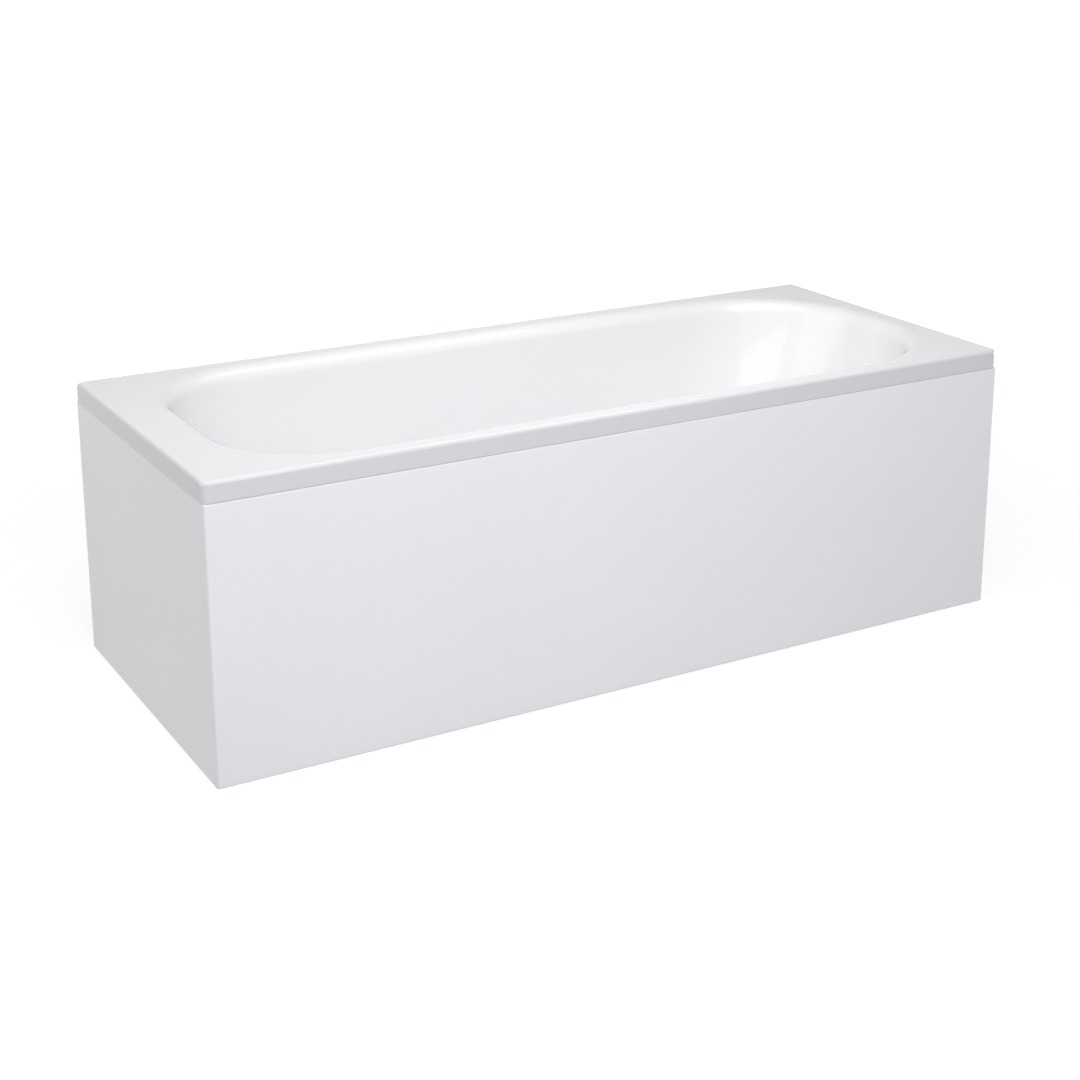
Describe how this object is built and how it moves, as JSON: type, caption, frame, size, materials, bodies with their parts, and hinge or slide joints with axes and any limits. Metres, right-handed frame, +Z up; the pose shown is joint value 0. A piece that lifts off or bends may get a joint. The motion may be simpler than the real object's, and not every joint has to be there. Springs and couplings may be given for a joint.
{
  "type": "corner bathtub",
  "caption": "Rectangular acrylic bath for a room corner with an L-shaped front and end panel, levelling legs and a turn-knob pop-up waste.",
  "frame": {"origin": "on the floor under the middle of the rim", "axes": "+X along the bath to the head end, +Y to the back wall, +Z up"},
  "size_m": [1.7, 0.7, 0.55],
  "materials": {
    "acrylic": "high gloss sanitary acrylic, glass-fibre backing below",
    "panel_acrylic": "gloss acrylic sheet",
    "chipboard": "raw chipboard",
    "timber": "planed softwood",
    "zinc_steel": "zinc plated",
    "chrome": "polished chrome plate",
    "rubber": "matte black rubber",
    "dark_plastic": "matte moulded plastic",
    "white_plastic": "satin moulded plastic"
  },
  "bodies": {
    "bath": {"base_board": "chipboard", "bath_shell": "acrylic", "bracket_screws": "zinc_steel", "clip_screws": "zinc_steel", "control_cable": "dark_plastic", "end_panel": "panel_acrylic", "floor_blocks": "dark_plastic", "front_panel": "panel_acrylic", "leg_rail_foot": "zinc_steel", "leg_rail_head": "zinc_steel", "lever_pin": "zinc_steel", "lock_nuts": "zinc_steel", "overflow_body": "white_plastic", "overflow_pipe": "white_plastic", "overflow_plate": "chrome", "overflow_seal": "rubber", "panel_angle": "white_plastic", "panel_clips": "zinc_steel", "pipe_nuts": "dark_plastic", "rail_screws": "zinc_steel", "rim_batten_back": "timber", "rim_batten_foot": "timber", "rim_batten_front": "timber", "rim_batten_head": "timber", "trap": "white_plastic", "trap_nut": "dark_plastic", "wall_brackets": "zinc_steel", "waste_body": "white_plastic", "waste_flange": "chrome", "waste_lower_seal": "rubber", "waste_upper_seal": "rubber", "weld_nuts": "zinc_steel"},
    "knob": {"overflow_knob": "chrome", "knob_spindle": "white_plastic"},
    "plug": {"waste_plug": "chrome", "plug_seal": "rubber"},
    "lever": {"lift_lever": "white_plastic"},
    "leg_foot_front": {"leg_stud_foot_front": "zinc_steel", "leg_pad_foot_front": "dark_plastic"},
    "leg_foot_back": {"leg_stud_foot_back": "zinc_steel", "leg_pad_foot_back": "dark_plastic"},
    "leg_head_front": {"leg_stud_head_front": "zinc_steel", "leg_pad_head_front": "dark_plastic"},
    "leg_head_back": {"leg_stud_head_back": "zinc_steel", "leg_pad_head_back": "dark_plastic"}
  },
  "joints": [
    {"name": "knob_turn", "type": "hinge", "parent": "bath", "child": "knob", "pos_m": [-0.73019, 0, 0.46], "axis": [0.9893, 0, 0.146], "range_deg": [0, 90]},
    {"name": "plug_lift", "type": "slide", "parent": "bath", "child": "plug", "axis": [0, 0, 1], "range_m": [0, 0.0088]},
    {"name": "lever_swing", "type": "hinge", "parent": "bath", "child": "lever", "pos_m": [-0.46248, 0, 0.1144], "axis": [0, 1, 0], "range_deg": [0, 29.07]},
    {"name": "leg_foot_front_level", "type": "slide", "parent": "bath", "child": "leg_foot_front", "axis": [0, 0, 1], "range_m": [-0.03, 0.025]},
    {"name": "leg_foot_back_level", "type": "slide", "parent": "bath", "child": "leg_foot_back", "axis": [0, 0, 1], "range_m": [-0.03, 0.025]},
    {"name": "leg_head_front_level", "type": "slide", "parent": "bath", "child": "leg_head_front", "axis": [0, 0, 1], "range_m": [-0.03, 0.025]},
    {"name": "leg_head_back_level", "type": "slide", "parent": "bath", "child": "leg_head_back", "axis": [0, 0, 1], "range_m": [-0.03, 0.025]}
  ],
  "couplings": [
    {"joint": "knob_turn", "follows": "plug_lift", "rad_per_m": 178.5},
    {"joint": "lever_swing", "follows": "plug_lift", "rad_per_m": 57.56}
  ]
}
